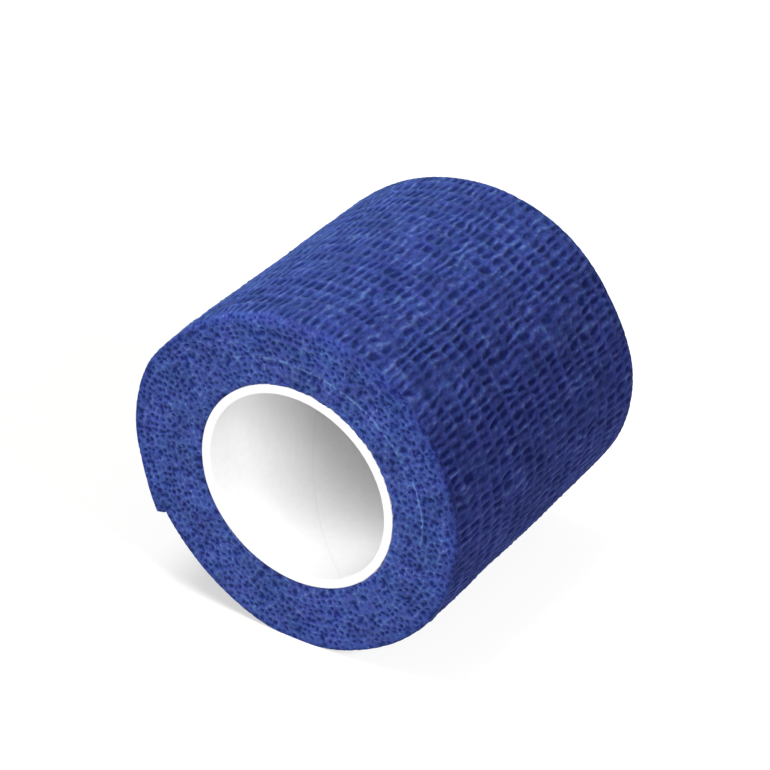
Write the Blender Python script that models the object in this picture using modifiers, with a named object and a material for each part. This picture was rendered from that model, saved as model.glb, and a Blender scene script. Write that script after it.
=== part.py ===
"""A roll of cohesive bandage on a cardboard core, lying on its side.

The roll's axis runs along Y and its open end faces -Y. Angles are in degrees in the XZ plane,
from +X towards +Z. The origin is on the surface that carries the roll, under its middle.
"""

import math
from collections import namedtuple

import bmesh
import bpy
import numpy as np

MM = 0.001

# The strip, wound on its core
STRIP_WIDTH = 50 * MM
THREAD_COUNT = 17
THREAD_PITCH = 2.93 * MM
FIRST_THREAD = 0.7 * MM
THREAD_RIB = 0.2 * MM

# The soft corner between the wound face and the ends, larger over the top of the front end
SHOULDER = 0.4 * MM
SOFT_SHOULDER = 1.3 * MM
SOFT_SHOULDER_ANGLE = 95.0
SOFT_SHOULDER_SPREAD = 32.0
SHOULDER_STEPS = 3

# The outermost turn ends in a cut edge low on the left side
CUT_ANGLE = 209.4
CUT_LEAN = 0.4

# The flat spot that the roll lies on
DOWN = 270.0
FLAT_HALF_ANGLE = 8.4
COLUMNS_BEFORE_FLAT = 12
COLUMNS_ON_FLAT = 4
COLUMNS_AFTER_FLAT = 67

# The core tube, a little off the middle of the wound form
CORE_OUTER_RADIUS = 16.7 * MM
CORE_WALL = 1.4 * MM
CORE_EDGE = 0.2 * MM
CORE_OFF_CENTRE = (0.2 * MM, -0.4 * MM)
CORE_SIDES = 72
FIT_GAP = 0.3 * MM

# The wound form's radius at each end, once round from under the cut end to the cut end itself
Winding = namedtuple("Winding", "angle front_mm back_mm")
WINDINGS = (
    Winding(209.4, 27.3, 27.2),
    Winding(222, 27.2, 27.3),
    Winding(240, 27.4, 27.5),
    Winding(258, 27.9, 27.7),
    Winding(278, 27.9, 27.6),
    Winding(300, 27.5, 27.3),
    Winding(326, 27.6, 27.1),
    Winding(345, 27.6, 27.8),
    Winding(365, 27.6, 28.2),
    Winding(390, 27.6, 27.7),
    Winding(412, 27.6, 28.0),
    Winding(440, 27.5, 27.5),
    Winding(462, 27.4, 27.0),
    Winding(488, 27.5, 27.1),
    Winding(502, 27.7, 27.5),
    Winding(514, 28.4, 28.0),
    Winding(528, 28.6, 28.2),
    Winding(541, 28.6, 28.2),
    Winding(553, 28.4, 28.1),
    Winding(569.4, 29.0, 28.7),
)


def clear_scene():
    for obj in list(bpy.data.objects):
        bpy.data.objects.remove(obj, do_unlink=True)


def new_collection(name):
    collection = bpy.data.collections.new(name)
    bpy.context.scene.collection.children.link(collection)
    return collection


def plain_material(name, colour, roughness):
    material = bpy.data.materials.new(name)
    material.use_nodes = True
    shader = material.node_tree.nodes["Principled BSDF"]
    shader.inputs["Base Color"].default_value = (*colour, 1.0)
    shader.inputs["Roughness"].default_value = roughness
    shader.inputs["Metallic"].default_value = 0.0
    return material


def smooth_curve(at, known_at, values):
    """Values between the known ones, on cubic pieces whose slopes come from the neighbours."""
    known_at = np.asarray(known_at, float)
    values = np.asarray(values, float)
    slopes = np.gradient(values, known_at)
    piece = np.clip(np.searchsorted(known_at, at, side="right") - 1, 0, len(known_at) - 2)
    span = known_at[piece + 1] - known_at[piece]
    t = (at - known_at[piece]) / span
    rise = t * t * (3 - 2 * t)
    start_bend = t * (1 - t) ** 2 * span
    end_bend = -t * t * (1 - t) * span
    return (
        values[piece] * (1 - rise)
        + values[piece + 1] * rise
        + slopes[piece] * start_bend
        + slopes[piece + 1] * end_bend
    )


def column_angles():
    """The angles of the sections, once round, with the flat spot's edges among them."""
    start = CUT_ANGLE + CUT_LEAN
    flat_start = DOWN - FLAT_HALF_ANGLE
    flat_end = DOWN + FLAT_HALF_ANGLE
    end = CUT_ANGLE + 360 - CUT_LEAN
    before = np.linspace(start, flat_start, COLUMNS_BEFORE_FLAT, endpoint=False)
    on_flat = np.linspace(flat_start, flat_end, COLUMNS_ON_FLAT, endpoint=False)
    after = np.linspace(flat_end, end, COLUMNS_AFTER_FLAT)
    return np.concatenate([before, on_flat, after])


def shoulder_size(angle):
    """The front corner's radius, which swells over the top of the roll."""
    away = (angle % 360 - SOFT_SHOULDER_ANGLE) / SOFT_SHOULDER_SPREAD
    return SHOULDER + SOFT_SHOULDER * math.exp(-away * away)


def shoulder_points(size):
    """(in from the end, lift) from the end plane to the wound face, on a quarter circle."""
    turns = np.linspace(0, math.pi / 2, SHOULDER_STEPS + 1)
    return [(size * (1 - math.cos(turn)), size * (math.sin(turn) - 1)) for turn in turns]


def thread_ribs():
    """(y, lift) of the low line before each elastic thread and of the rib over the thread."""
    points = []
    for thread in range(1, THREAD_COUNT):
        rib_y = FIRST_THREAD + thread * THREAD_PITCH - STRIP_WIDTH / 2
        points.append((rib_y - THREAD_PITCH / 2, 0.0))
        points.append((rib_y, THREAD_RIB))
    return points


def outer_line(angle):
    """(y, lift) from the front end to the back end, over both shoulders and the ribs."""
    half = STRIP_WIDTH / 2
    front = [(inset - half, lift) for inset, lift in shoulder_points(shoulder_size(angle))]
    back = [(half - inset, lift) for inset, lift in shoulder_points(SHOULDER)]
    return front + thread_ribs() + back[::-1]


def wound_sections():
    """The sections' points, an array of section by point by (x, y, z) about the roll's axis.

    Each section is a closed loop: the outer line from front to back, then the bore's two
    edges. What lies below the flat spot is raised to it.
    """
    angles = column_angles()
    known_at = [row.angle for row in WINDINGS]
    front_radii = smooth_curve(angles, known_at, [row.front_mm * MM for row in WINDINGS])
    back_radii = smooth_curve(angles, known_at, [row.back_mm * MM for row in WINDINGS])
    bore_radius = CORE_OUTER_RADIUS + FIT_GAP
    sections = []
    for angle, front_radius, back_radius in zip(angles, front_radii, back_radii):
        turn = math.radians(angle)
        along = np.array([y for y, lift in outer_line(angle)])
        lifts = np.array([lift for y, lift in outer_line(angle)])
        share = along / STRIP_WIDTH + 0.5
        radii = front_radius * (1 - share) + back_radius * share + lifts
        points = [
            (radius * math.cos(turn), y, radius * math.sin(turn))
            for y, radius in zip(along, radii)
        ]
        bore_x = CORE_OFF_CENTRE[0] + bore_radius * math.cos(turn)
        bore_z = CORE_OFF_CENTRE[1] + bore_radius * math.sin(turn)
        points.append((bore_x, STRIP_WIDTH / 2, bore_z))
        points.append((bore_x, -STRIP_WIDTH / 2, bore_z))
        sections.append(points)
    sections = np.array(sections)
    sections[..., 2] = np.maximum(sections[..., 2], -axis_height())
    return sections


def axis_height():
    """The roll's axis above the surface, from the radius at the flat spot's edges."""
    known_at = [row.angle for row in WINDINGS]
    down_radius = smooth_curve(DOWN, known_at, [row.front_mm * MM for row in WINDINGS])
    return float(down_radius) * math.cos(math.radians(FLAT_HALF_ANGLE))


def axis_place(sections):
    """Where the roll's axis goes, so that the origin is under the middle of the whole."""
    middle_x = (sections[..., 0].max() + sections[..., 0].min()) / 2
    return (-middle_x, 0.0, axis_height())


def loft_object(name, sections, material):
    """One closed body through closed sections, the last joined to the first."""
    mesh = bmesh.new()
    rings = [[mesh.verts.new(point) for point in section] for section in sections]
    count = len(rings[0])
    for ring, following in zip(rings, rings[1:] + rings[:1]):
        for i in range(count):
            after = (i + 1) % count
            mesh.faces.new((ring[i], ring[after], following[after], following[i]))
    bmesh.ops.recalc_face_normals(mesh, faces=mesh.faces)
    data = bpy.data.meshes.new(name)
    mesh.to_mesh(data)
    mesh.free()
    data.materials.append(material)
    return bpy.data.objects.new(name, data)


def build_bandage(sections, axis, collection):
    cloth = plain_material("blue_cohesive_cloth", (0.045, 0.065, 0.26), 0.9)
    bandage = loft_object("bandage", sections, cloth)
    bandage.data.shade_smooth()
    bandage.data.set_sharp_from_angle(angle=math.radians(40))
    bandage.location = axis
    collection.objects.link(bandage)


def core_profile():
    """(radius, height) round the wall, down its outer side first, with chamfered rims."""
    outer = CORE_OUTER_RADIUS
    inner = CORE_OUTER_RADIUS - CORE_WALL
    end = STRIP_WIDTH / 2
    return (
        (outer, end - CORE_EDGE),
        (outer, CORE_EDGE - end),
        (outer - CORE_EDGE, -end),
        (inner + CORE_EDGE, -end),
        (inner, CORE_EDGE - end),
        (inner, end - CORE_EDGE),
        (inner + CORE_EDGE, end),
        (outer - CORE_EDGE, end),
    )


def build_core(axis, collection):
    card = plain_material("white_core_card", (0.86, 0.87, 0.88), 0.75)
    profile = bpy.data.meshes.new("core")
    points = [(radius, 0.0, height) for radius, height in core_profile()]
    edges = [(i, (i + 1) % len(points)) for i in range(len(points))]
    profile.from_pydata(points, edges, [])
    profile.materials.append(card)
    core = bpy.data.objects.new("core", profile)
    collection.objects.link(core)
    turn = core.modifiers.new("turn", "SCREW")
    turn.axis = "Z"
    turn.steps = CORE_SIDES
    turn.render_steps = CORE_SIDES
    turn.use_merge_vertices = True
    turn.merge_threshold = 0.00001
    turn.use_smooth_shade = True
    core.rotation_euler = (math.radians(90), 0.0, 0.0)
    core.location = (axis[0] + CORE_OFF_CENTRE[0], axis[1], axis[2] + CORE_OFF_CENTRE[1])


def main():
    clear_scene()
    collection = new_collection("cohesive_bandage_roll")
    sections = wound_sections()
    axis = axis_place(sections)
    build_bandage(sections, axis, collection)
    build_core(axis, collection)


main()
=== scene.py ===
"""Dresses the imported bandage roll: its crinkled cloth, the edges of its layers and its card tube.

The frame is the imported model's, in metres: the roll's axis runs along Y, its open end faces -Y
and +Z is up. Angles run in degrees from +X towards +Z. The surfaces are worked out about the
roll's axis in millimetres, and the last step of each puts it in its place in metres.
"""

import math
from collections import namedtuple

import bpy
import numpy as np
from mathutils import Matrix, Vector


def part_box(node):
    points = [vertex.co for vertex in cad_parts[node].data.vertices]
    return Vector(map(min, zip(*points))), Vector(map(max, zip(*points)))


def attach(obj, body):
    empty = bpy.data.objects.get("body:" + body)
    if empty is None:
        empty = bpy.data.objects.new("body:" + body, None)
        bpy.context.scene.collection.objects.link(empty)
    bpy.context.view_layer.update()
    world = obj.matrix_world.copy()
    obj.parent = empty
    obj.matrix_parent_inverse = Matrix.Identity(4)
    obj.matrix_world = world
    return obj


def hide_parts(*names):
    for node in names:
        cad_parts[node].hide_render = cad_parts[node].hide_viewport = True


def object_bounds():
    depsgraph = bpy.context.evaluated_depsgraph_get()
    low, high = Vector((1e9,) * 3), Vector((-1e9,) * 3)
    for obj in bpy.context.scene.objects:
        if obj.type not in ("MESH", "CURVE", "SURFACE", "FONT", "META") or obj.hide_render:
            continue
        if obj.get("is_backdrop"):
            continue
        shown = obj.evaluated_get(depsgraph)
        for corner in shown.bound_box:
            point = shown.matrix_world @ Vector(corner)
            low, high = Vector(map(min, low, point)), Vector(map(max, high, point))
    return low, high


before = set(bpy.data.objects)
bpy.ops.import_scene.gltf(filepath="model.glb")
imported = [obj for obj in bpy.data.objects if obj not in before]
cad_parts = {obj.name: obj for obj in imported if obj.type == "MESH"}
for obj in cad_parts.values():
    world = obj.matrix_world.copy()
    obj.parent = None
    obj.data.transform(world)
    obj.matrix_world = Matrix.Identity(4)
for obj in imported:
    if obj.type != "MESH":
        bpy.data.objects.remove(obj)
cad_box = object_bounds()

MM = 0.001

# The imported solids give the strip's width and the core's size and place
core_low, core_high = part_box("core")
HALF_WIDTH = (core_high[1] - core_low[1]) / 2 / MM
CORE_RADIUS = (core_high[0] - core_low[0]) / 2 / MM
CORE_WALL = 1.4
CORE_OFF_CENTRE = (0.2, -0.4)
AXIS_X = (core_low[0] + core_high[0]) / 2 / MM - CORE_OFF_CENTRE[0]
AXIS_Z = (core_low[2] + core_high[2]) / 2 / MM - CORE_OFF_CENTRE[1]

# The strip's cloth: elastic threads along it, and crinkles across it between them
THREAD_PITCH = 2.93
FIRST_THREAD = 0.7
THREAD_ROWS = 18
THREAD_HEIGHT = 0.12
THREAD_WIDTH = 0.24
MEAN_RADIUS = 27.6
CRINKLE = 1.4
CRINKLE_HEIGHT = 0.07
RIDGE_HEIGHT = 0.11
RIDGE_WIDTH = 0.23
PIT_DEPTH = 0.26
PIT_HALF_WIDTH = 0.4
PIT_HALF_LENGTH = 1.22
STREAK_HEIGHT = 0.08
CLOTH_LIFT = 0.1
WOUND_SEED = 11

# The upper right side of the roll, where the cloth is stretched and its pits are shallower
STRETCHED_ANGLE = 420
STRETCHED_SPREAD = 30
STRETCHED_LOSS = 0.25

# The layers' edges on the two ends: cells of two sizes, each round a pit
FINE_SPACING = 1.06
FINE_RING = 0.96
FINE_PIT = 0.32
COARSE_SPACING = 1.9
COARSE_RING = 1.7
COARSE_PIT = 0.45
EDGE_RIDGE = 0.07
EDGE_RIDGE_WIDTH = 0.18
EDGE_PIT_DEPTH = 0.3
EDGE_SEED = 23
BACK_EDGE_SEED = EDGE_SEED + 50

# Where the edges meet the bore: they overlap the card's rim and roll in
BORE_OVERLAP = 0.02
BORE_FRAY = 0.13
BORE_ROLL = 0.25
BORE_ROLL_SHARE = 0.03

# A filament that stands up along one turn, by its place round the end
Bend = namedtuple("Bend", "angle radius_mm")
FILAMENT = (
    Bend(-14, 21.5),
    Bend(4, 22.1),
    Bend(16, 22.0),
    Bend(50, 21.0),
    Bend(86, 20.5),
    Bend(135, 21.3),
)
FILAMENT_HEIGHT = 0.12
FILAMENT_WIDTH = 0.17
FILAMENT_STRENGTH = 0.42

# The shoulders, the share of the relief that is left on them, and the shade at the front rim
SHOULDER = 0.4
SOFT_SHOULDER = 1.3
SOFT_SHOULDER_ANGLE = 95.0
SOFT_SHOULDER_SPREAD = 32.0
CALM_CORNER = 0.25
SOFT_CORNER_RELIEF = 0.45
RIM_SHADE = 0.17

# The winding, as in the solid: a row for each bend of the wound form, once round to the cut end
CUT_ANGLE = 209.4
CUT_LEAN = 0.4
Winding = namedtuple("Winding", "angle front_mm back_mm")
WINDINGS = (
    Winding(209.4, 27.3, 27.2),
    Winding(222, 27.2, 27.3),
    Winding(240, 27.4, 27.5),
    Winding(258, 27.9, 27.7),
    Winding(278, 27.9, 27.6),
    Winding(300, 27.5, 27.3),
    Winding(326, 27.6, 27.1),
    Winding(345, 27.6, 27.8),
    Winding(365, 27.6, 28.2),
    Winding(390, 27.6, 27.7),
    Winding(412, 27.6, 28.0),
    Winding(440, 27.5, 27.5),
    Winding(462, 27.4, 27.0),
    Winding(488, 27.5, 27.1),
    Winding(502, 27.7, 27.5),
    Winding(514, 28.4, 28.0),
    Winding(528, 28.6, 28.2),
    Winding(541, 28.6, 28.2),
    Winding(553, 28.4, 28.1),
    Winding(569.4, 29.0, 28.7),
)

# The grids. Four fifths of an end's rows lie inside the even circle, and the rest beyond it
COLUMNS_ROUND = 864
COLUMN_STEP = (360 - 2 * CUT_LEAN) / COLUMNS_ROUND
LAP_COLUMNS = 17
FRONT_SHOULDER_ROWS = 11
FACE_ROWS = 200
BACK_SHOULDER_ROWS = 4
END_ROWS = 100
EVEN_ROWS = 0.8
EVEN_RADIUS = 25.0

# The cut end's lip
LIP_GAP = 0.12
LIP_RIPPLE = 0.1
LIP_BELLY = 0.12
LIP_SINK = 0.3
LIP_FACE_COLUMNS = 6
LIP_UNDER_COLUMNS = 10
LIP_UNDER_ANGLE = 4.0
CUT_WAVE = 0.22
CUT_RAMP = 4.0

# The core tube
CORE_COLUMNS = 480
CORE_EDGE = 0.2
CORE_PROUD = 0.03
SEAM_TURN = 3.75
SEAM_START = 301.4
SEAM_DEPTH = 0.025
SEAM_WIDTH = 0.16
SEAM_OVERLAP = 0.04
CORE_UNEVEN = 0.02
CORE_SEED = 71

# The colours
# The hollows' blue is partly painted shade and the ridges' blue partly painted highlight
HOLLOW_BLUE = (0.008, 0.011, 0.13)
CLOTH_BLUE = (0.033, 0.0395, 0.245)
RIDGE_BLUE = (0.078, 0.105, 0.355)
FILAMENT_BLUE = (0.16, 0.25, 0.55)
VIOLET_TINT = (1.08, 0.95, 1.0)
CYAN_TINT = (0.92, 1.05, 1.0)
SHEEN_BLUE = (0.3, 0.7, 1.0)
CARD_SHADE = (0.694, 0.69, 0.694)
CARD_WHITE = (0.722, 0.718, 0.722)
CARD_SEAM = (0.674, 0.67, 0.674)
TABLE_GREY = (0.34, 0.34, 0.33)

# Lumps of noise to a metre
HUE_LUMPS = 420
PATCH_LUMPS = 230
FIBRE_LUMPS = 4200
PULP_LUMPS = 900

# The table, and the white room round it
TABLE_REACH = 1.5
TABLE_GLOW = 0.61
ROOM_LIGHT = 0.3

# The lights, by which way each is from the roll. Size is in metres
LIGHT_DISTANCE = 1.2
Light = namedtuple("Light", "name towards size strength colour", defaults=[(1.0, 1.0, 1.0)])
CLOTH_LIGHTS = (
    Light("key", (-0.42, -0.3, 0.85), 0.7, 1.28, (0.88, 1.13, 0.91)),
    Light("front", (0.0, -0.93, 0.2), 0.6, 0.54, (1.05, 1.68, 0.89)),
    Light("beside", (0.8, -0.3, 0.5), 0.5, 0.085, (1.0, 0.8, 1.2)),
    Light("behind", (-0.1, 0.98, 0.15), 0.6, 0.3, (1.0, 1.4, 1.0)),
)
TUBE_LIGHTS = (
    Light("across_tube", (0.85, -0.5, 0.15), 0.6, 0.7),
    Light("down_tube", (-0.29, -0.5, 0.81), 0.6, 0.76),
    Light("into_tube", (0.43, -0.64, 0.6), 0.5, 0.6),
    Light("behind_tube", (-0.05, 0.99, 0.1), 0.6, 0.25),
)
TABLE_LIGHTS = (
    Light("over_table", (-0.17, -0.12, 1.0), 0.5, 0.97),
    Light("beside_table", (0.9, -0.2, 0.5), 0.4, 1.87),
)


def smooth_step(values, low, high):
    """0 below low, 1 above high, and an eased rise between them."""
    t = np.clip((values - low) / (high - low), 0, 1)
    return t * t * (3 - 2 * t)


def smooth_curve(at, known_at, values):
    """Values between the known ones, on cubic pieces whose slopes come from the neighbours."""
    known_at = np.asarray(known_at, float)
    values = np.asarray(values, float)
    at = np.clip(at, known_at[0], known_at[-1])
    slopes = np.gradient(values, known_at)
    piece = np.clip(np.searchsorted(known_at, at, side="right") - 1, 0, len(known_at) - 2)
    span = known_at[piece + 1] - known_at[piece]
    t = (at - known_at[piece]) / span
    rise = t * t * (3 - 2 * t)
    start_bend = t * (1 - t) ** 2 * span
    end_bend = -t * t * (1 - t) * span
    return (
        values[piece] * (1 - rise)
        + values[piece + 1] * rise
        + slopes[piece] * start_bend
        + slopes[piece + 1] * end_bend
    )


def soft_noise(across, along, seed):
    """Smooth values from -1 to 1: a lattice of random heights a unit apart, eased between them."""
    size = 256
    heights = np.random.default_rng(seed).uniform(-1, 1, (size, size))
    across, along = np.broadcast_arrays(across, along)
    column = np.floor(across).astype(int)
    row = np.floor(along).astype(int)
    right = smooth_step(across - column, 0, 1)
    up = smooth_step(along - row, 0, 1)
    low = heights[column % size, row % size] * (1 - right)
    low += heights[(column + 1) % size, row % size] * right
    high = heights[column % size, (row + 1) % size] * (1 - right)
    high += heights[(column + 1) % size, (row + 1) % size] * right
    return low * (1 - up) + high * up


def nearest_cell(candidates):
    """(border, across, along, draw) of the cell that each point is in, from its likely cells.

    A candidate gives the point's offsets from a cell's centre, and the cell's random draw. The
    border is the line midway between the two nearest centres, so it is as far as the difference
    of their squared distances over twice their spacing. The rest are the nearest candidate's.
    """
    across, along, draws = (np.stack(part) for part in zip(*candidates))
    squared = across**2 + along**2
    nearest = np.argsort(squared, axis=0)[:2]
    near, far = np.take_along_axis(squared, nearest, axis=0)
    near_across, far_across = np.take_along_axis(across, nearest, axis=0)
    near_along, far_along = np.take_along_axis(along, nearest, axis=0)
    spacing = np.hypot(near_across - far_across, near_along - far_along)
    border = (far - near) / (2 * spacing + 1e-9)
    return border, near_across, near_along, np.take_along_axis(draws, nearest[:1], axis=0)[0]


def crinkle_phase(around, along):
    """Turns of the crinkling: one more for each crinkle along the strip, wandering across it.

    The crinkles run on from thread to thread, so the slow wander is nearly the same all across
    the strip. Two quicker ones shift and bend them a little.
    """
    slow = 0.3 * soft_noise(around / 4.3, along / 24, WOUND_SEED + 1)
    between = 0.27 * soft_noise(around / 2.9, along / (1.2 * THREAD_PITCH), WOUND_SEED + 2)
    quick = 0.19 * soft_noise(around / 1.2, along / 1.6, WOUND_SEED + 3)
    return around / CRINKLE + slow + between + quick


def wound_pits(around, along, phase):
    """(pit, row_share, beside): the pits in the troughs, the thread row, and the way from its middle.

    A pit is a lens across one trough and along it between two threads. Its share of the full
    depth is its own draw plus a drift over several pits, and less where the cloth is stretched.
    """
    draws = np.random.default_rng(WOUND_SEED).uniform(0, 1, (3, THREAD_ROWS + 4, 256))
    bend = 0.16 * soft_noise(around / 2.3, along / 3.7, WOUND_SEED + 4)
    row_share = (along + bend - FIRST_THREAD) / THREAD_PITCH
    row = np.floor(row_share).astype(int)
    beside = (row_share - row - 0.5) * THREAD_PITCH
    cell = np.floor(phase).astype(int)
    slide, length, draw = draws[:, (row + 2) % draws.shape[1], cell % 256]
    across = (phase - cell - 0.42 - 0.16 * slide) * CRINKLE
    from_stretched = around / MEAN_RADIUS - math.radians(STRETCHED_ANGLE)
    stretched = np.exp(-((from_stretched / math.radians(STRETCHED_SPREAD)) ** 2))
    patch = 0.5 + 0.5 * soft_noise(around / 4.4, along / 5.2, WOUND_SEED + 5)
    share = 0.24 + 0.57 * smooth_step(0.55 * draw + 0.45 * patch, 0.2, 0.78)
    share = share * (1 - STRETCHED_LOSS * stretched)
    half_width = PIT_HALF_WIDTH * (0.75 + 0.5 * draw)
    half_length = PIT_HALF_LENGTH * (0.72 + 0.28 * length)
    lens = (across / half_width) ** 2 + (beside / half_length) ** 4
    return share * (1 - smooth_step(lens, 0.0, 1.5)), row_share, beside


def crest_ridges(around, along, phase):
    """The thin ridge on each crinkle's crest, of uneven strength and width."""
    from_crest = (phase + 0.56 - np.floor(phase + 0.56) - 0.5) * CRINKLE
    strength = 0.55 + 0.45 * soft_noise(around / 1.1, along / 1.5, WOUND_SEED + 10)
    width = RIDGE_WIDTH * (1.15 + 0.45 * soft_noise(around / 0.8, along / 1.2, WOUND_SEED + 14))
    return strength * np.exp(-((from_crest / width) ** 2))


def thread_ridges(around, row_share, beside):
    """The fine ridge over each elastic thread, of uneven strength along it."""
    ridge = np.exp(-(((THREAD_PITCH / 2 - np.abs(beside)) / THREAD_WIDTH) ** 2))
    thread = np.rint(row_share)
    return ridge * (0.5 + 0.5 * soft_noise(around / 1.2, thread * 0.7, WOUND_SEED + 8))


def wound_relief(around, along):
    """(height, relief) of the crinkled cloth, at millimetres along the strip and in from its edge.

    Height is a wave with a thin ridge on each crest, a fine ridge over each thread, streaks
    along the crinkles and a fine grain, less the pits in the troughs, on a slow swell. Relief
    goes by the same parts, from 0 in the deepest pit to 1 on a ridge, and sets the colour: the
    pits are painted darker, partly the thin cloth's own tone and partly painted shade, and the
    ridges paler, partly painted highlight.
    """
    phase = crinkle_phase(around, along)
    pit, row_share, beside = wound_pits(around, along, phase)
    crest = 0.5 + 0.5 * np.cos(2 * math.pi * (phase + 0.06))
    ridge = crest_ridges(around, along, phase)
    over_thread = thread_ridges(around, row_share, beside)
    run = phase * CRINKLE
    streak = soft_noise(run / 0.42, along / 1.7, WOUND_SEED + 6)
    grain = soft_noise(around / 0.42, along / 0.5, WOUND_SEED + 7)
    swell = 0.1 * soft_noise(around / 8, along / 9, WOUND_SEED + 9)
    height = (
        CRINKLE_HEIGHT * crest
        + RIDGE_HEIGHT * ridge
        + STREAK_HEIGHT * (0.55 * streak + 0.5 * grain) * (1 - 0.5 * pit)
        + THREAD_HEIGHT * over_thread
        - PIT_DEPTH * pit
        + swell
    )
    # The pale crests and ridges are partly painted highlight, and the pits' darkening partly painted
    # shade
    pale = 0.06 * crest + 0.39 * np.maximum(ridge, 0.8 * over_thread)
    drift = 0.08 * soft_noise(around / 2.6, along / 3.4, WOUND_SEED + 13)
    relief = 0.42 + pale + 0.2 * streak + 0.22 * grain - 0.68 * pit + drift
    return height, np.clip(relief, 0, 1)


def ring_candidates(x, z, spacing, ring_height, seed):
    """The cells near each point of an end: rings of cells round the axis, spacing apart."""
    draws = np.random.default_rng(seed).uniform(-1, 1, (3, 128, 512))
    radius = np.hypot(x, z)
    turn = np.arctan2(z, x) / (2 * math.pi) % 1
    ring_here = np.floor(radius / ring_height).astype(int)
    for ring_step in (-1, 0, 1):
        ring = ring_here + ring_step
        middle = (ring + 0.5) * ring_height
        count = np.maximum(np.rint(2 * math.pi * middle / spacing), 1).astype(int)
        slid = turn * count
        for cell_step in (-1, 0, 1):
            cell = np.floor(slid).astype(int) + cell_step
            slide, rise, draw = draws[:, ring % 128, cell % count]
            angle = 2 * math.pi * (cell + 0.5 + 0.38 * slide) / count
            reach = middle + 0.36 * rise * ring_height
            yield x - reach * np.cos(angle), z - reach * np.sin(angle), (draw + 1) / 2


def filament_share(x, z):
    """How much of the broken filament is at each point: most on its line, and none away from it."""
    turn = np.degrees(np.arctan2(z, x))
    known_at = [bend.angle for bend in FILAMENT]
    line = smooth_curve(turn, known_at, [bend.radius_mm for bend in FILAMENT])
    line = line + 0.1 * soft_noise(turn / 4, turn * 0, EDGE_SEED + 6)
    unbroken = 0.35 + 0.65 * smooth_step(soft_noise(turn / 2.5, turn * 0, EDGE_SEED + 7), -0.5, 0.6)
    between_ends = smooth_step(turn, -14, -4) * (1 - smooth_step(turn, 100, 135))
    on_line = np.exp(-(((np.hypot(x, z) - line) / FILAMENT_WIDTH) ** 2))
    return FILAMENT_STRENGTH * unbroken * between_ends * on_line


def end_relief(x, z, seed):
    """(height, relief) of the layers' edges on an end, at (x, z) from the roll's axis.

    The crinkled edges make a sponge-like net: pale ridges along the borders of fine cells bent
    by a noise, a small round pit in each cell by its draw, and a deeper one in some of the
    coarse cells, more of both towards the outer turns. One broken filament stands up along a
    turn. Relief, which sets the colour, is 0 in the deepest pit, 1 on a ridge and up to 2 on the
    filament and flecks: the pits are darkened partly as painted shade and the ridges paled
    partly as painted highlight.
    """
    outward = smooth_step(np.hypot(x, z), 17.5, 24)
    bent_x = x + 0.17 * soft_noise(x / 0.7, z / 0.7, seed + 1)
    bent_z = z + 0.17 * soft_noise(x / 0.7, z / 0.7, seed + 2)
    fine = nearest_cell(ring_candidates(bent_x, bent_z, FINE_SPACING, FINE_RING, seed + 3))
    coarse = nearest_cell(ring_candidates(bent_x, bent_z, COARSE_SPACING, COARSE_RING, seed + 4))
    small_share = 0.25 + 0.75 * smooth_step(fine[3] + 0.14 * outward, 0.1, 0.8)
    small = small_share * np.exp(-((np.hypot(fine[1], fine[2]) / FINE_PIT) ** 2))
    deep_share = smooth_step(coarse[3] + 0.1 * outward, 0.3, 0.9)
    deep = deep_share * np.exp(-((np.hypot(coarse[1], coarse[2]) / COARSE_PIT) ** 2))
    hollow = np.maximum(0.88 * small * (0.75 + 0.25 * outward), deep)
    grain = soft_noise(bent_x / 0.36, bent_z / 0.36, seed + 5)
    fleck = smooth_step(soft_noise(x / 0.34, z / 0.34, seed + 9), 0.86, 0.98)
    crest = np.exp(-((fine[0] / EDGE_RIDGE_WIDTH) ** 2)) * (0.8 + 0.2 * grain)
    filament = filament_share(x, z)
    swell = 0.08 * soft_noise(x / 6, z / 6, seed + 8)
    height = EDGE_RIDGE * crest - EDGE_PIT_DEPTH * hollow + FILAMENT_HEIGHT * filament + swell
    # The pits' darkening is partly painted shade and the crests' paleness partly painted highlight
    relief = np.clip(0.59 + 0.22 * crest + 0.12 * grain - 0.89 * hollow, 0, 1)
    return height, relief + (2 - relief) * np.maximum(filament, 0.6 * fleck)


def column_angles():
    """The columns' angles along the outermost turn, from under its lap to the cut end."""
    columns = np.arange(COLUMNS_ROUND + LAP_COLUMNS + 1)
    return CUT_ANGLE + CUT_LEAN + (columns - LAP_COLUMNS) * COLUMN_STEP


def winding_radii(angles):
    """The wound form's radius at its front and its back end, at each angle along the turn."""
    known_at = [row.angle for row in WINDINGS]
    front = smooth_curve(angles, known_at, [row.front_mm for row in WINDINGS])
    back = smooth_curve(angles, known_at, [row.back_mm for row in WINDINGS])
    return front, back


def over_top(angles):
    """1 over the top of the roll, where its front corner swells, easing to 0 round the rest."""
    away = (angles % 360 - SOFT_SHOULDER_ANGLE) / SOFT_SHOULDER_SPREAD
    return np.exp(-away * away)


def shoulder_sizes(angles):
    """The front corner's radius at each angle."""
    return SHOULDER + SOFT_SHOULDER * over_top(angles)


def corner_relief(angles):
    """The share of the relief left on the front corner: it is calmest where the corner is tight."""
    return CALM_CORNER + SOFT_CORNER_RELIEF * over_top(angles)


def rim_shade(angles, near_rim):
    """How much painted shade darkens the cloth near the front rim, all round but over the top."""
    return RIM_SHADE * (1 - over_top(angles))[:, None] * near_rim


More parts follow.
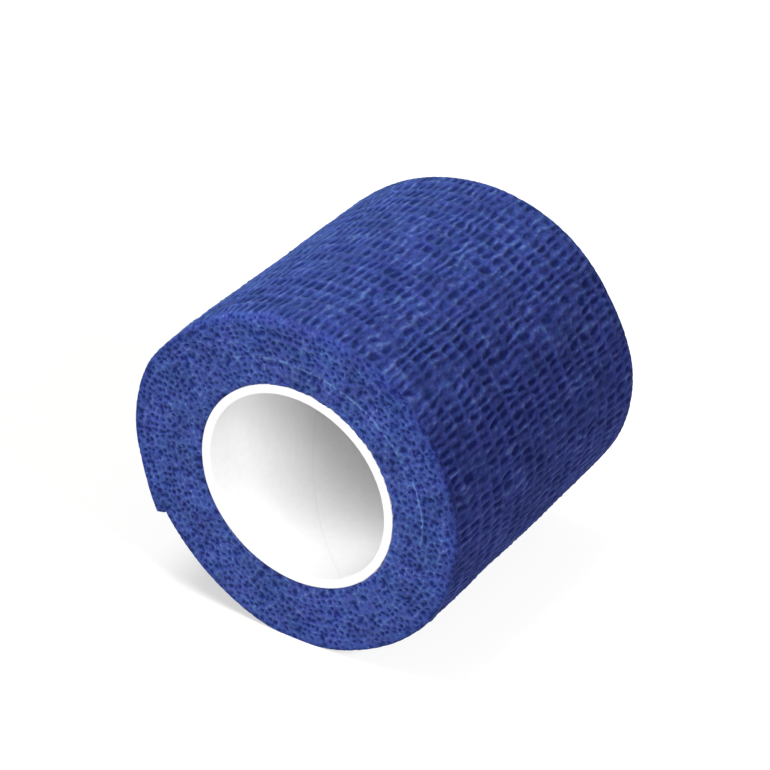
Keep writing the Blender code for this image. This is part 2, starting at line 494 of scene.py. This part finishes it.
def section_rows(angles):
    """(y, lift, tilt) over the wound face at each angle, from the front end to the back end.

    A quarter circle leads from the end's plane to the wound face, and another back. Tilt is the
    normal's angle out of the end's plane: 0 on the front end, 90 on the wound face, 180 behind.
    """
    up = np.linspace(0, math.pi / 2, FRONT_SHOULDER_ROWS)
    down = np.linspace(math.pi / 2, 0, BACK_SHOULDER_ROWS)
    front = shoulder_sizes(angles)[:, None]
    back = np.full_like(front, SHOULDER)
    along = np.linspace(0, 1, FACE_ROWS + 2)[1:-1]
    face_y = front - HALF_WIDTH + along * (2 * HALF_WIDTH - front - back)
    front_y = front * (1 - np.cos(up)) - HALF_WIDTH
    front_lift = front * (np.sin(up) - 1)
    back_y = HALF_WIDTH - back * (1 - np.cos(down))
    back_lift = back * (np.sin(down) - 1)
    y = np.concatenate([front_y, face_y, back_y], axis=1)
    lift = np.concatenate([front_lift, np.zeros_like(face_y), back_lift], axis=1)
    level = np.full(FACE_ROWS, math.pi / 2)
    tilt = np.concatenate([up, level, math.pi - down])
    return y, lift, np.broadcast_to(tilt, y.shape)


def above_floor(points):
    """The points, with those that would be under the surface the roll lies on raised to it."""
    points[..., 2] = np.maximum(points[..., 2], -AXIS_Z)
    return points


def near_cut(angles):
    """1 at the cut end, easing to 0 a few degrees before it, as a column."""
    return smooth_step(angles, angles[-1] - CUT_RAMP, angles[-1])[:, None]


def cut_waver(angles, y, share):
    """How far the cut edge wavers along the turn, in radians: not at the rims, nor before the cut."""
    wave = soft_noise(y / 1.9, y * 0, WOUND_SEED + 10) + 0.6 * soft_noise(y / 6, y * 0, WOUND_SEED + 11)
    inside = 1 - (2 * share - 1) ** 8
    return CUT_WAVE * wave * near_cut(angles) * inside / MEAN_RADIUS


def wound_cloth(angles, x, y, z, radius):
    """(height, relief) over the wound face and the two shoulders.

    An end's relief runs on over its shoulder, as if unrolled flat, and gives way to the wound
    face's along a ragged line. The height is less on the shoulders and near the cut, and the
    relief is lowered at the front rim, all round but over the top, as painted shade.
    """
    around = np.radians(angles)[:, None] * MEAN_RADIUS + 0 * y
    wound_height, wound_share = wound_relief(around, y + HALF_WIDTH)
    inset = HALF_WIDTH - np.abs(y)
    spread = 1 + inset / radius
    front_height, front_share = end_relief(x * spread, z * spread, EDGE_SEED)
    back_height, back_share = end_relief(x * spread, z * spread, BACK_EDGE_SEED)
    on_front = y < 0
    end_height = np.where(on_front, front_height, back_height)
    end_share = np.where(on_front, front_share, back_share)
    ragged = 0.3 * soft_noise(around / 1.1, y * 0, EDGE_SEED + 10)
    on_face = smooth_step(inset + ragged, 0.6, 1.1)
    least = np.where(on_front, corner_relief(angles)[:, None], CALM_CORNER)
    calm = (least + (1 - least) * smooth_step(inset, 0.3, 1.6)) * (1 - 0.6 * near_cut(angles))
    height = (end_height * (1 - on_face) + wound_height * on_face) * calm
    relief = end_share * (1 - on_face) + wound_share * on_face
    # The relief is lowered near the front rim, darkening the cloth: painted shade
    return height, relief - on_front * rim_shade(angles, 1 - smooth_step(inset, 0.2, 1.3))


def wound_surface():
    """(points, relief) of the outermost turn, an array of column by row.

    A point is its place on the section, at the winding's radius for its angle, moved along its
    normal by the cloth's height and a small lift that clears the solid.
    """
    angles = column_angles()
    y, lift, tilt = section_rows(angles)
    front, back = winding_radii(angles)
    share = y / (2 * HALF_WIDTH) + 0.5
    radius = front[:, None] * (1 - share) + back[:, None] * share + lift
    turn = np.radians(angles)[:, None] + cut_waver(angles, y, share)
    x, z = radius * np.cos(turn), radius * np.sin(turn)
    height, relief = wound_cloth(angles, x, y, z, radius)
    height = height + CLOTH_LIFT * np.sin(tilt)
    out = np.sin(tilt) * height
    points = np.stack([x + out * np.cos(turn), y - np.cos(tilt) * height, z + out * np.sin(turn)], -1)
    return above_floor(points), relief


def lip_surface(edge, edge_relief):
    """(points, relief) of the cut end: its cut face, and its underside back to the turn below.

    edge is the outermost turn's last column. The cut face leans in from it to just over the turn
    below, and the underside closes in on that turn over a few degrees.
    """
    turn = np.arctan2(edge[:, 2], edge[:, 0])
    outer = np.hypot(edge[:, 0], edge[:, 2])
    inside = 1 - (edge[:, 1] / HALF_WIDTH) ** 8
    below = winding_radii(np.array([CUT_ANGLE]))[0][0]
    ripple = LIP_RIPPLE * inside * soft_noise(edge[:, 1] / 0.8, edge[:, 1] * 0, WOUND_SEED + 12)
    inner = below + LIP_GAP + ripple
    down = np.linspace(0, 1, LIP_FACE_COLUMNS + 1)[1:, None]
    face_radius = outer * (1 - down) + inner * down
    belly = LIP_BELLY * inside * np.sin(math.pi * down) / MEAN_RADIUS
    face_turn = turn + math.radians(2 * CUT_LEAN) * down + belly
    back = np.linspace(0, 1, LIP_UNDER_COLUMNS + 1)[1:, None]
    under_radius = inner * (1 - back) + (below - LIP_SINK) * back
    under_turn = face_turn[-1] - math.radians(LIP_UNDER_ANGLE) * back
    radius = np.concatenate([face_radius, under_radius])
    turn = np.concatenate([face_turn, under_turn])
    y = np.broadcast_to(edge[:, 1], radius.shape)
    points = np.stack([radius * np.cos(turn), y, radius * np.sin(turn)], -1)
    # The cut face darkens towards the turn below and its underside is dark: painted shade under the lap
    face_relief = edge_relief * (1 - 0.5 * down)
    under_relief = np.full(under_radius.shape, 0.1)
    return above_floor(points), np.concatenate([face_relief, under_relief])


def end_surface(boundary, side, seed):
    """(points, relief) of one end, from the bore out to the wound face's boundary row.

    side is -1 for the front end and +1 for the back. A point is on the straight line from the
    bore's edge to an even circle, or on from there to the boundary, and is moved out of the end's
    plane by the height of the edges, which is less near the rim. At the bore the edges overlap
    the card's rim unevenly and roll in. The last row is the boundary itself, and the first
    column comes again at the end and closes the cut's step.
    """
    angles = column_angles()[LAP_COLUMNS:]
    turn = np.radians(angles)
    frayed = CORE_RADIUS + BORE_OVERLAP + BORE_FRAY * soft_noise(turn * 22, turn * 0, seed + 7)
    bore_x = CORE_OFF_CENTRE[0] + frayed * np.cos(turn)
    bore_z = CORE_OFF_CENTRE[1] + frayed * np.sin(turn)
    front, back = winding_radii(angles)
    if side < 0:
        rim = front - shoulder_sizes(angles)
    else:
        rim = back - SHOULDER
    out = np.linspace(0, 1, END_ROWS + 1)
    inner = np.clip(out / EVEN_ROWS, 0, 1)
    outer = np.clip((out - EVEN_ROWS) / (1 - EVEN_ROWS), 0, 1)
    reach = EVEN_RADIUS * inner + (rim - EVEN_RADIUS)[:, None] * outer
    x = bore_x[:, None] * (1 - inner) + np.cos(turn)[:, None] * reach
    z = bore_z[:, None] * (1 - inner) + np.sin(turn)[:, None] * reach
    height, relief = end_relief(x, z, seed)
    from_rim = rim[:, None] - np.hypot(x, z)
    least = corner_relief(angles)[:, None] if side < 0 else CALM_CORNER
    calm = least + (1 - least) * smooth_step(from_rim, 0, 1)
    # Painted shade darkens the cloth near the front rim
    if side < 0:
        relief = relief - rim_shade(angles, 1 - smooth_step(from_rim, 0, 1.2))
    roll = BORE_ROLL * np.exp(-out / BORE_ROLL_SHARE)
    y = np.full_like(x, side * HALF_WIDTH) + side * (height * calm - roll)
    points = above_floor(np.stack([x, y, z], -1))
    points[:, -1] = boundary
    return np.concatenate([points, points[:1]]), np.concatenate([relief, relief[:1]])


def grid_piece(name, points, relief, material, closed=False):
    """A mesh on a grid of points about the roll's axis, in millimetres, put in its place in metres.

    Rows run so that they, then the columns, turn clockwise seen from outside. A closed grid
    joins its last column to its first and its last row to its first.
    """
    columns, rows = points.shape[:2]
    index = np.arange(columns * rows).reshape(columns, rows)
    if closed:
        index = np.pad(index, ((0, 1), (0, 1)), mode="wrap")
    corners = (index[:-1, :-1], index[:-1, 1:], index[1:, 1:], index[1:, :-1])
    faces = np.stack(corners, -1).reshape(-1, 4)
    place = np.array([AXIS_X, 0, AXIS_Z])
    mesh = bpy.data.meshes.new(name)
    mesh.vertices.add(columns * rows)
    mesh.vertices.foreach_set("co", ((points + place) * MM).astype(np.float32).ravel())
    mesh.loops.add(faces.size)
    mesh.loops.foreach_set("vertex_index", faces.astype(np.int32).ravel())
    mesh.polygons.add(len(faces))
    mesh.polygons.foreach_set("loop_start", np.arange(0, faces.size, 4, dtype=np.int32))
    mesh.polygons.foreach_set("use_smooth", np.ones(len(faces), bool))
    shares = mesh.attributes.new("relief", "FLOAT", "POINT")
    shares.data.foreach_set("value", relief.astype(np.float32).ravel())
    mesh.update()
    mesh.validate()
    mesh.materials.append(material)
    piece = bpy.data.objects.new(name, mesh)
    bpy.context.scene.collection.objects.link(piece)
    return piece


def core_surface():
    """(points, relief) of the card tube: front rim, outer wall, back rim and inner wall.

    The columns slant as the tube's spiral seam does, so that one of them runs along it. The
    seam is a fine groove whose one side stands a little higher, where the card strip overlaps.
    """
    half = HALF_WIDTH + CORE_PROUD
    inner_radius = CORE_RADIUS - CORE_WALL
    corner = np.linspace(0, math.pi / 2, 5)
    ease_in = CORE_EDGE * (1 - np.sin(corner))
    ease_out = CORE_EDGE * (1 - np.cos(corner))
    wall = np.linspace(CORE_EDGE, 2 * half - CORE_EDGE, 48)[1:-1]
    rim = np.linspace(inner_radius + CORE_EDGE, CORE_RADIUS - CORE_EDGE, 9)[1:-1]
    outside = np.linspace(CORE_EDGE, 2 * half - CORE_EDGE, 12)[1:-1]
    radius = np.concatenate([
        inner_radius + ease_out,
        rim,
        CORE_RADIUS - ease_in,
        np.full(len(outside), CORE_RADIUS),
        CORE_RADIUS - ease_out,
        rim[::-1],
        inner_radius + ease_in,
        np.full(len(wall), inner_radius),
    ])
    depth = np.concatenate([
        ease_in,
        np.zeros(len(rim)),
        ease_out,
        outside,
        2 * half - ease_in,
        np.full(len(rim), 2 * half),
        2 * half - ease_out,
        wall[::-1],
    ])
    columns = np.arange(CORE_COLUMNS)[:, None] * 360 / CORE_COLUMNS
    turn = np.radians(SEAM_START + columns - SEAM_TURN * depth)
    past_seam = ((columns + 180) % 360 - 180) * math.pi / 180 * inner_radius * math.sqrt(0.5)
    on_inner = (radius <= inner_radius + 1e-6).astype(float)
    in_groove = np.exp(-((past_seam / SEAM_WIDTH) ** 2))
    groove = -SEAM_DEPTH * in_groove
    overlap = SEAM_OVERLAP * np.exp(-np.abs(past_seam) / 3) * (past_seam > 0)
    uneven = CORE_UNEVEN * soft_noise(np.cos(turn) * 3 + 9, np.sin(turn) * 3 + depth / 6, CORE_SEED)
    radius = radius - (groove + overlap) * on_inner + uneven
    y = depth - half + 0 * columns
    x = CORE_OFF_CENTRE[0] + radius * np.cos(turn)
    z = CORE_OFF_CENTRE[1] + radius * np.sin(turn)
    relief = 1 - 0.5 * in_groove * on_inner + 0 * y
    return np.stack([x, y, z], -1), relief


def new_material(name):
    """A new material, its node tree and its shader."""
    material = bpy.data.materials.new(name)
    material.use_nodes = True
    tree = material.node_tree
    return material, tree, tree.nodes["Principled BSDF"]


def add_node(tree, kind, **settings):
    """A node of this kind, with its settings made."""
    node = tree.nodes.new(kind)
    for setting, value in settings.items():
        setattr(node, setting, value)
    return node


def noise_node(tree, place, scale, detail, stretch=(1, 1, 1)):
    """Noise at so many lumps a metre, drawn out along the axes by stretch."""
    mapping = add_node(tree, "ShaderNodeMapping")
    mapping.inputs["Scale"].default_value = [scale / s for s in stretch]
    noise = add_node(tree, "ShaderNodeTexNoise")
    noise.inputs["Scale"].default_value = 1.0
    noise.inputs["Detail"].default_value = detail
    noise.inputs["Roughness"].default_value = 0.6
    tree.links.new(place, mapping.inputs["Vector"])
    tree.links.new(mapping.outputs["Vector"], noise.inputs["Vector"])
    return noise.outputs["Fac"]


def eased_node(tree, value, low, high, to_low=0.0, to_high=1.0):
    """The value eased from one range to another."""
    node = add_node(tree, "ShaderNodeMapRange", interpolation_type="SMOOTHSTEP")
    tree.links.new(value, node.inputs["Value"])
    node.inputs["From Min"].default_value = low
    node.inputs["From Max"].default_value = high
    node.inputs["To Min"].default_value = to_low
    node.inputs["To Max"].default_value = to_high
    return node.outputs["Result"]


def mix_node(tree, share, first, second, blend="MIX"):
    """Two colours mixed by a share. Each is a socket, or a colour as three numbers."""
    node = add_node(tree, "ShaderNodeMix", data_type="RGBA", blend_type=blend)
    for socket, value in ((node.inputs[0], share), (node.inputs[6], first), (node.inputs[7], second)):
        if isinstance(value, bpy.types.NodeSocket):
            tree.links.new(value, socket)
        elif isinstance(value, (int, float)):
            socket.default_value = value
        else:
            socket.default_value = (*value, 1.0)
    return node.outputs[2]


def cloth_group():
    """The cloth's colour: darker in its hollows and paler on its ridges, partly painted shade and
    highlight.

    The relief mixes four colours. One slow noise makes soft paler patches, and another turns
    the hue between violet and cyan. Fibres, drawn out along the roll's axis, streak them and
    also give the bump its height.
    """
    tree = bpy.data.node_groups.new("crinkled_cloth_tone_and_painted_light", "ShaderNodeTree")
    sockets = (
        ("Relief", "INPUT", "NodeSocketFloat"),
        ("Hollow Colour", "INPUT", "NodeSocketColor"),
        ("Cloth Colour", "INPUT", "NodeSocketColor"),
        ("Ridge Colour", "INPUT", "NodeSocketColor"),
        ("Filament Colour", "INPUT", "NodeSocketColor"),
        ("Colour", "OUTPUT", "NodeSocketColor"),
        ("Roughness", "OUTPUT", "NodeSocketFloat"),
        ("Fibre Height", "OUTPUT", "NodeSocketFloat"),
    )
    for name, way, kind in sockets:
        tree.interface.new_socket(name, in_out=way, socket_type=kind)
    given = add_node(tree, "NodeGroupInput").outputs
    result = add_node(tree, "NodeGroupOutput").inputs
    place = add_node(tree, "ShaderNodeTexCoord").outputs["Object"]

    low = eased_node(tree, given["Relief"], 0.0, 0.62)
    high = eased_node(tree, given["Relief"], 0.58, 1.0)
    colour = mix_node(tree, low, given["Hollow Colour"], given["Cloth Colour"])
    colour = mix_node(tree, high, colour, given["Ridge Colour"])
    palest = eased_node(tree, given["Relief"], 1.0, 2.0)
    colour = mix_node(tree, palest, colour, given["Filament Colour"])
    hue = eased_node(tree, noise_node(tree, place, HUE_LUMPS, 2.0), 0.35, 0.65)
    tint = mix_node(tree, hue, VIOLET_TINT, CYAN_TINT)
    colour = mix_node(tree, 1.0, colour, tint, blend="MULTIPLY")
    patches = noise_node(tree, place, PATCH_LUMPS, 2.0)
    shade = eased_node(tree, patches, 0.3, 0.7, 0.85, 1.13)
    fibres = noise_node(tree, place, FIBRE_LUMPS, 3.0, stretch=(1, 5, 1))
    speckle = eased_node(tree, fibres, 0.3, 0.7, 0.76, 1.24)
    strength = add_node(tree, "ShaderNodeMath", operation="MULTIPLY")
    tree.links.new(shade, strength.inputs[0])
    tree.links.new(speckle, strength.inputs[1])
    scaled = add_node(tree, "ShaderNodeVectorMath", operation="SCALE")
    tree.links.new(colour, scaled.inputs[0])
    tree.links.new(strength.outputs[0], scaled.inputs["Scale"])
    tree.links.new(scaled.outputs[0], result["Colour"])
    tree.links.new(eased_node(tree, fibres, 0.2, 0.8, 0.98, 0.8), result["Roughness"])
    tree.links.new(fibres, result["Fibre Height"])
    return tree


def cloth_material():
    """The strip's cloth: its colours in four blues, partly painted shade and highlight, with fibres and
    a little sheen.
    """
    material, tree, shader = new_material("crinkled_blue_cloth")
    group = add_node(tree, "ShaderNodeGroup", node_tree=cloth_group())
    group.inputs["Hollow Colour"].default_value = (*HOLLOW_BLUE, 1)
    group.inputs["Cloth Colour"].default_value = (*CLOTH_BLUE, 1)
    group.inputs["Ridge Colour"].default_value = (*RIDGE_BLUE, 1)
    group.inputs["Filament Colour"].default_value = (*FILAMENT_BLUE, 1)
    relief = add_node(tree, "ShaderNodeAttribute", attribute_name="relief")
    tree.links.new(relief.outputs["Fac"], group.inputs["Relief"])
    tree.links.new(group.outputs["Colour"], shader.inputs["Base Color"])
    tree.links.new(group.outputs["Roughness"], shader.inputs["Roughness"])
    fibre_bump = add_node(tree, "ShaderNodeBump")
    fibre_bump.inputs["Strength"].default_value = 0.35
    fibre_bump.inputs["Distance"].default_value = 0.0001
    tree.links.new(group.outputs["Fibre Height"], fibre_bump.inputs["Height"])
    tree.links.new(fibre_bump.outputs["Normal"], shader.inputs["Normal"])
    shader.inputs["Specular IOR Level"].default_value = 0.12
    shader.inputs["Sheen Weight"].default_value = 0.1
    shader.inputs["Sheen Roughness"].default_value = 0.5
    shader.inputs["Sheen Tint"].default_value = (*SHEEN_BLUE, 1.0)
    return material


def card_material():
    """White card: a faint mottle of its fibres, darker along the seam's groove."""
    material, tree, shader = new_material("white_card")
    place = add_node(tree, "ShaderNodeTexCoord").outputs["Object"]
    relief = add_node(tree, "ShaderNodeAttribute", attribute_name="relief").outputs["Fac"]
    pulp = noise_node(tree, place, PULP_LUMPS, 4.0)
    mottle = eased_node(tree, pulp, 0.3, 0.7)
    white = mix_node(tree, mottle, CARD_SHADE, CARD_WHITE)
    off_seam = eased_node(tree, relief, 0.5, 1.0)
    tree.links.new(mix_node(tree, off_seam, CARD_SEAM, white), shader.inputs["Base Color"])
    tree.links.new(eased_node(tree, pulp, 0.2, 0.8, 0.55, 0.75), shader.inputs["Roughness"])
    pulp_bump = add_node(tree, "ShaderNodeBump")
    pulp_bump.inputs["Strength"].default_value = 0.15
    pulp_bump.inputs["Distance"].default_value = 0.0001
    tree.links.new(pulp, pulp_bump.inputs["Height"])
    tree.links.new(pulp_bump.outputs["Normal"], shader.inputs["Normal"])
    return material


def wear(piece, node):
    """The piece rides on the one body, and stands for this node, whose solid is hidden."""
    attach(piece, "root")
    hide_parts(node)


def dress_bandage():
    """The outermost turn in two lengths, the cut end's lip with the second, and the two ends."""
    cloth = cloth_material()
    points, relief = wound_surface()
    lip_points, lip_relief = lip_surface(points[-1], relief[-1])
    half_way = (len(points) - 1) // 2
    under_length = grid_piece(
        "outer_turn_under", points[: half_way + 1], relief[: half_way + 1], cloth
    )
    over_length = grid_piece(
        "outer_turn_over",
        np.concatenate([points[half_way:], lip_points]),
        np.concatenate([relief[half_way:], lip_relief]),
        cloth,
    )
    front = end_surface(points[LAP_COLUMNS:, 0], -1, EDGE_SEED)
    back = end_surface(points[LAP_COLUMNS:, -1], 1, BACK_EDGE_SEED)
    front_end = grid_piece("front_layer_edges", *front, cloth)
    back_end = grid_piece("back_layer_edges", back[0][:, ::-1], back[1][:, ::-1], cloth)
    for piece in (under_length, over_length, front_end, back_end):
        wear(piece, "bandage")
    return under_length, over_length, front_end, back_end


def dress_core():
    """The card tube, in place of the solid one."""
    core = grid_piece("card_core", *core_surface(), card_material(), closed=True)
    wear(core, "core")
    return core


def make_floor():
    """A pale table. It glows a little, for the camera's own rays only, so its shadows stay light."""
    material, tree, shader = new_material("pale_table")
    shader.inputs["Base Color"].default_value = (*TABLE_GREY, 1.0)
    shader.inputs["Roughness"].default_value = 0.9
    shader.inputs["Specular IOR Level"].default_value = 0.0
    shader.inputs["Emission Color"].default_value = (1.0, 1.0, 1.0, 1.0)
    seen = add_node(tree, "ShaderNodeLightPath").outputs["Is Camera Ray"]
    glow = add_node(tree, "ShaderNodeMath", operation="MULTIPLY")
    glow.inputs[1].default_value = TABLE_GLOW
    tree.links.new(seen, glow.inputs[0])
    tree.links.new(glow.outputs[0], shader.inputs["Emission Strength"])
    signs = ((-1, -1), (1, -1), (1, 1), (-1, 1))
    corners = [(TABLE_REACH * x, TABLE_REACH * y, 0) for x, y in signs]
    mesh = bpy.data.meshes.new("pale_table")
    mesh.from_pydata(corners, [], [(0, 1, 2, 3)])
    mesh.materials.append(material)
    floor = bpy.data.objects.new("pale_table", mesh)
    bpy.context.scene.collection.objects.link(floor)
    floor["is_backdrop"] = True
    return floor


def make_light(light, lit):
    """A soft square light that shines on the lit pieces alone.

    A matt white thing square on to it shows the light's strength as its brightness, so its power
    is strength times the square of pi times the distance.
    """
    group = bpy.data.collections.new("lit_by_" + light.name)
    for piece in lit:
        group.objects.link(piece)
    data = bpy.data.lights.new(light.name, "AREA")
    data.shape = "SQUARE"
    data.size = light.size
    data.color = light.colour
    data.energy = light.strength * (math.pi * LIGHT_DISTANCE) ** 2
    lamp = bpy.data.objects.new(light.name, data)
    direction = Vector(light.towards).normalized()
    lamp.location = Vector((0, 0, AXIS_Z * MM)) + direction * LIGHT_DISTANCE
    lamp.rotation_euler = direction.to_track_quat("Z", "Y").to_euler()
    lamp.light_linking.receiver_collection = group
    bpy.context.scene.collection.objects.link(lamp)


def make_lights(floor, cloth, core):
    """Four lights on the cloth, four on the card tube and two on the table, in a white room.

    The light over the table throws the roll's one soft shadow, and the low one from the right
    clears that side of it.
    """
    for lights, lit in ((CLOTH_LIGHTS, cloth), (TUBE_LIGHTS, [core]), (TABLE_LIGHTS, [floor])):
        for light in lights:
            make_light(light, lit)
    world = bpy.data.worlds.new("soft_room")
    world.use_nodes = True
    backdrop = world.node_tree.nodes["Background"]
    backdrop.inputs["Color"].default_value = (1.0, 1.0, 1.0, 1.0)
    backdrop.inputs["Strength"].default_value = ROOM_LIGHT
    bpy.context.scene.world = world
    bpy.context.scene.view_settings.view_transform = "Standard"


def make_camera():
    """The photograph's view: the camera's turn and height, its distance in roll radii, and where
    the roll's middle lies beside and under the middle of the picture, also in radii."""
    turn, height = math.radians(33.09), math.radians(32.18)
    distance, beside, above = 17.428, -0.0164, 0.1233
    picture_width, focal_length = 770, 3198.7
    sensor = 36.0
    forward = Vector((
        -math.sin(turn) * math.cos(height), math.cos(turn) * math.cos(height), -math.sin(height)
    ))
    right = Vector((math.cos(turn), math.sin(turn), 0))
    up = right.cross(forward)
    middle = Vector((AXIS_X, 0, AXIS_Z)) * MM
    radius = MEAN_RADIUS * MM
    place = middle + radius * (above * up + beside * right - distance * forward)
    data = bpy.data.cameras.new("camera")
    data.sensor_width = sensor
    data.lens = sensor * focal_length / picture_width
    data.clip_start = 0.01
    camera = bpy.data.objects.new("camera", data)
    axes = Matrix((right, up, -forward)).transposed()
    camera.matrix_world = Matrix.Translation(place) @ axes.to_4x4()
    bpy.context.scene.collection.objects.link(camera)
    bpy.context.scene.camera = camera


make_camera()
cloth_pieces = dress_bandage()
core = dress_core()
make_lights(make_floor(), cloth_pieces, core)

[[list(corner) for corner in box] for box in (cad_box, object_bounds())]
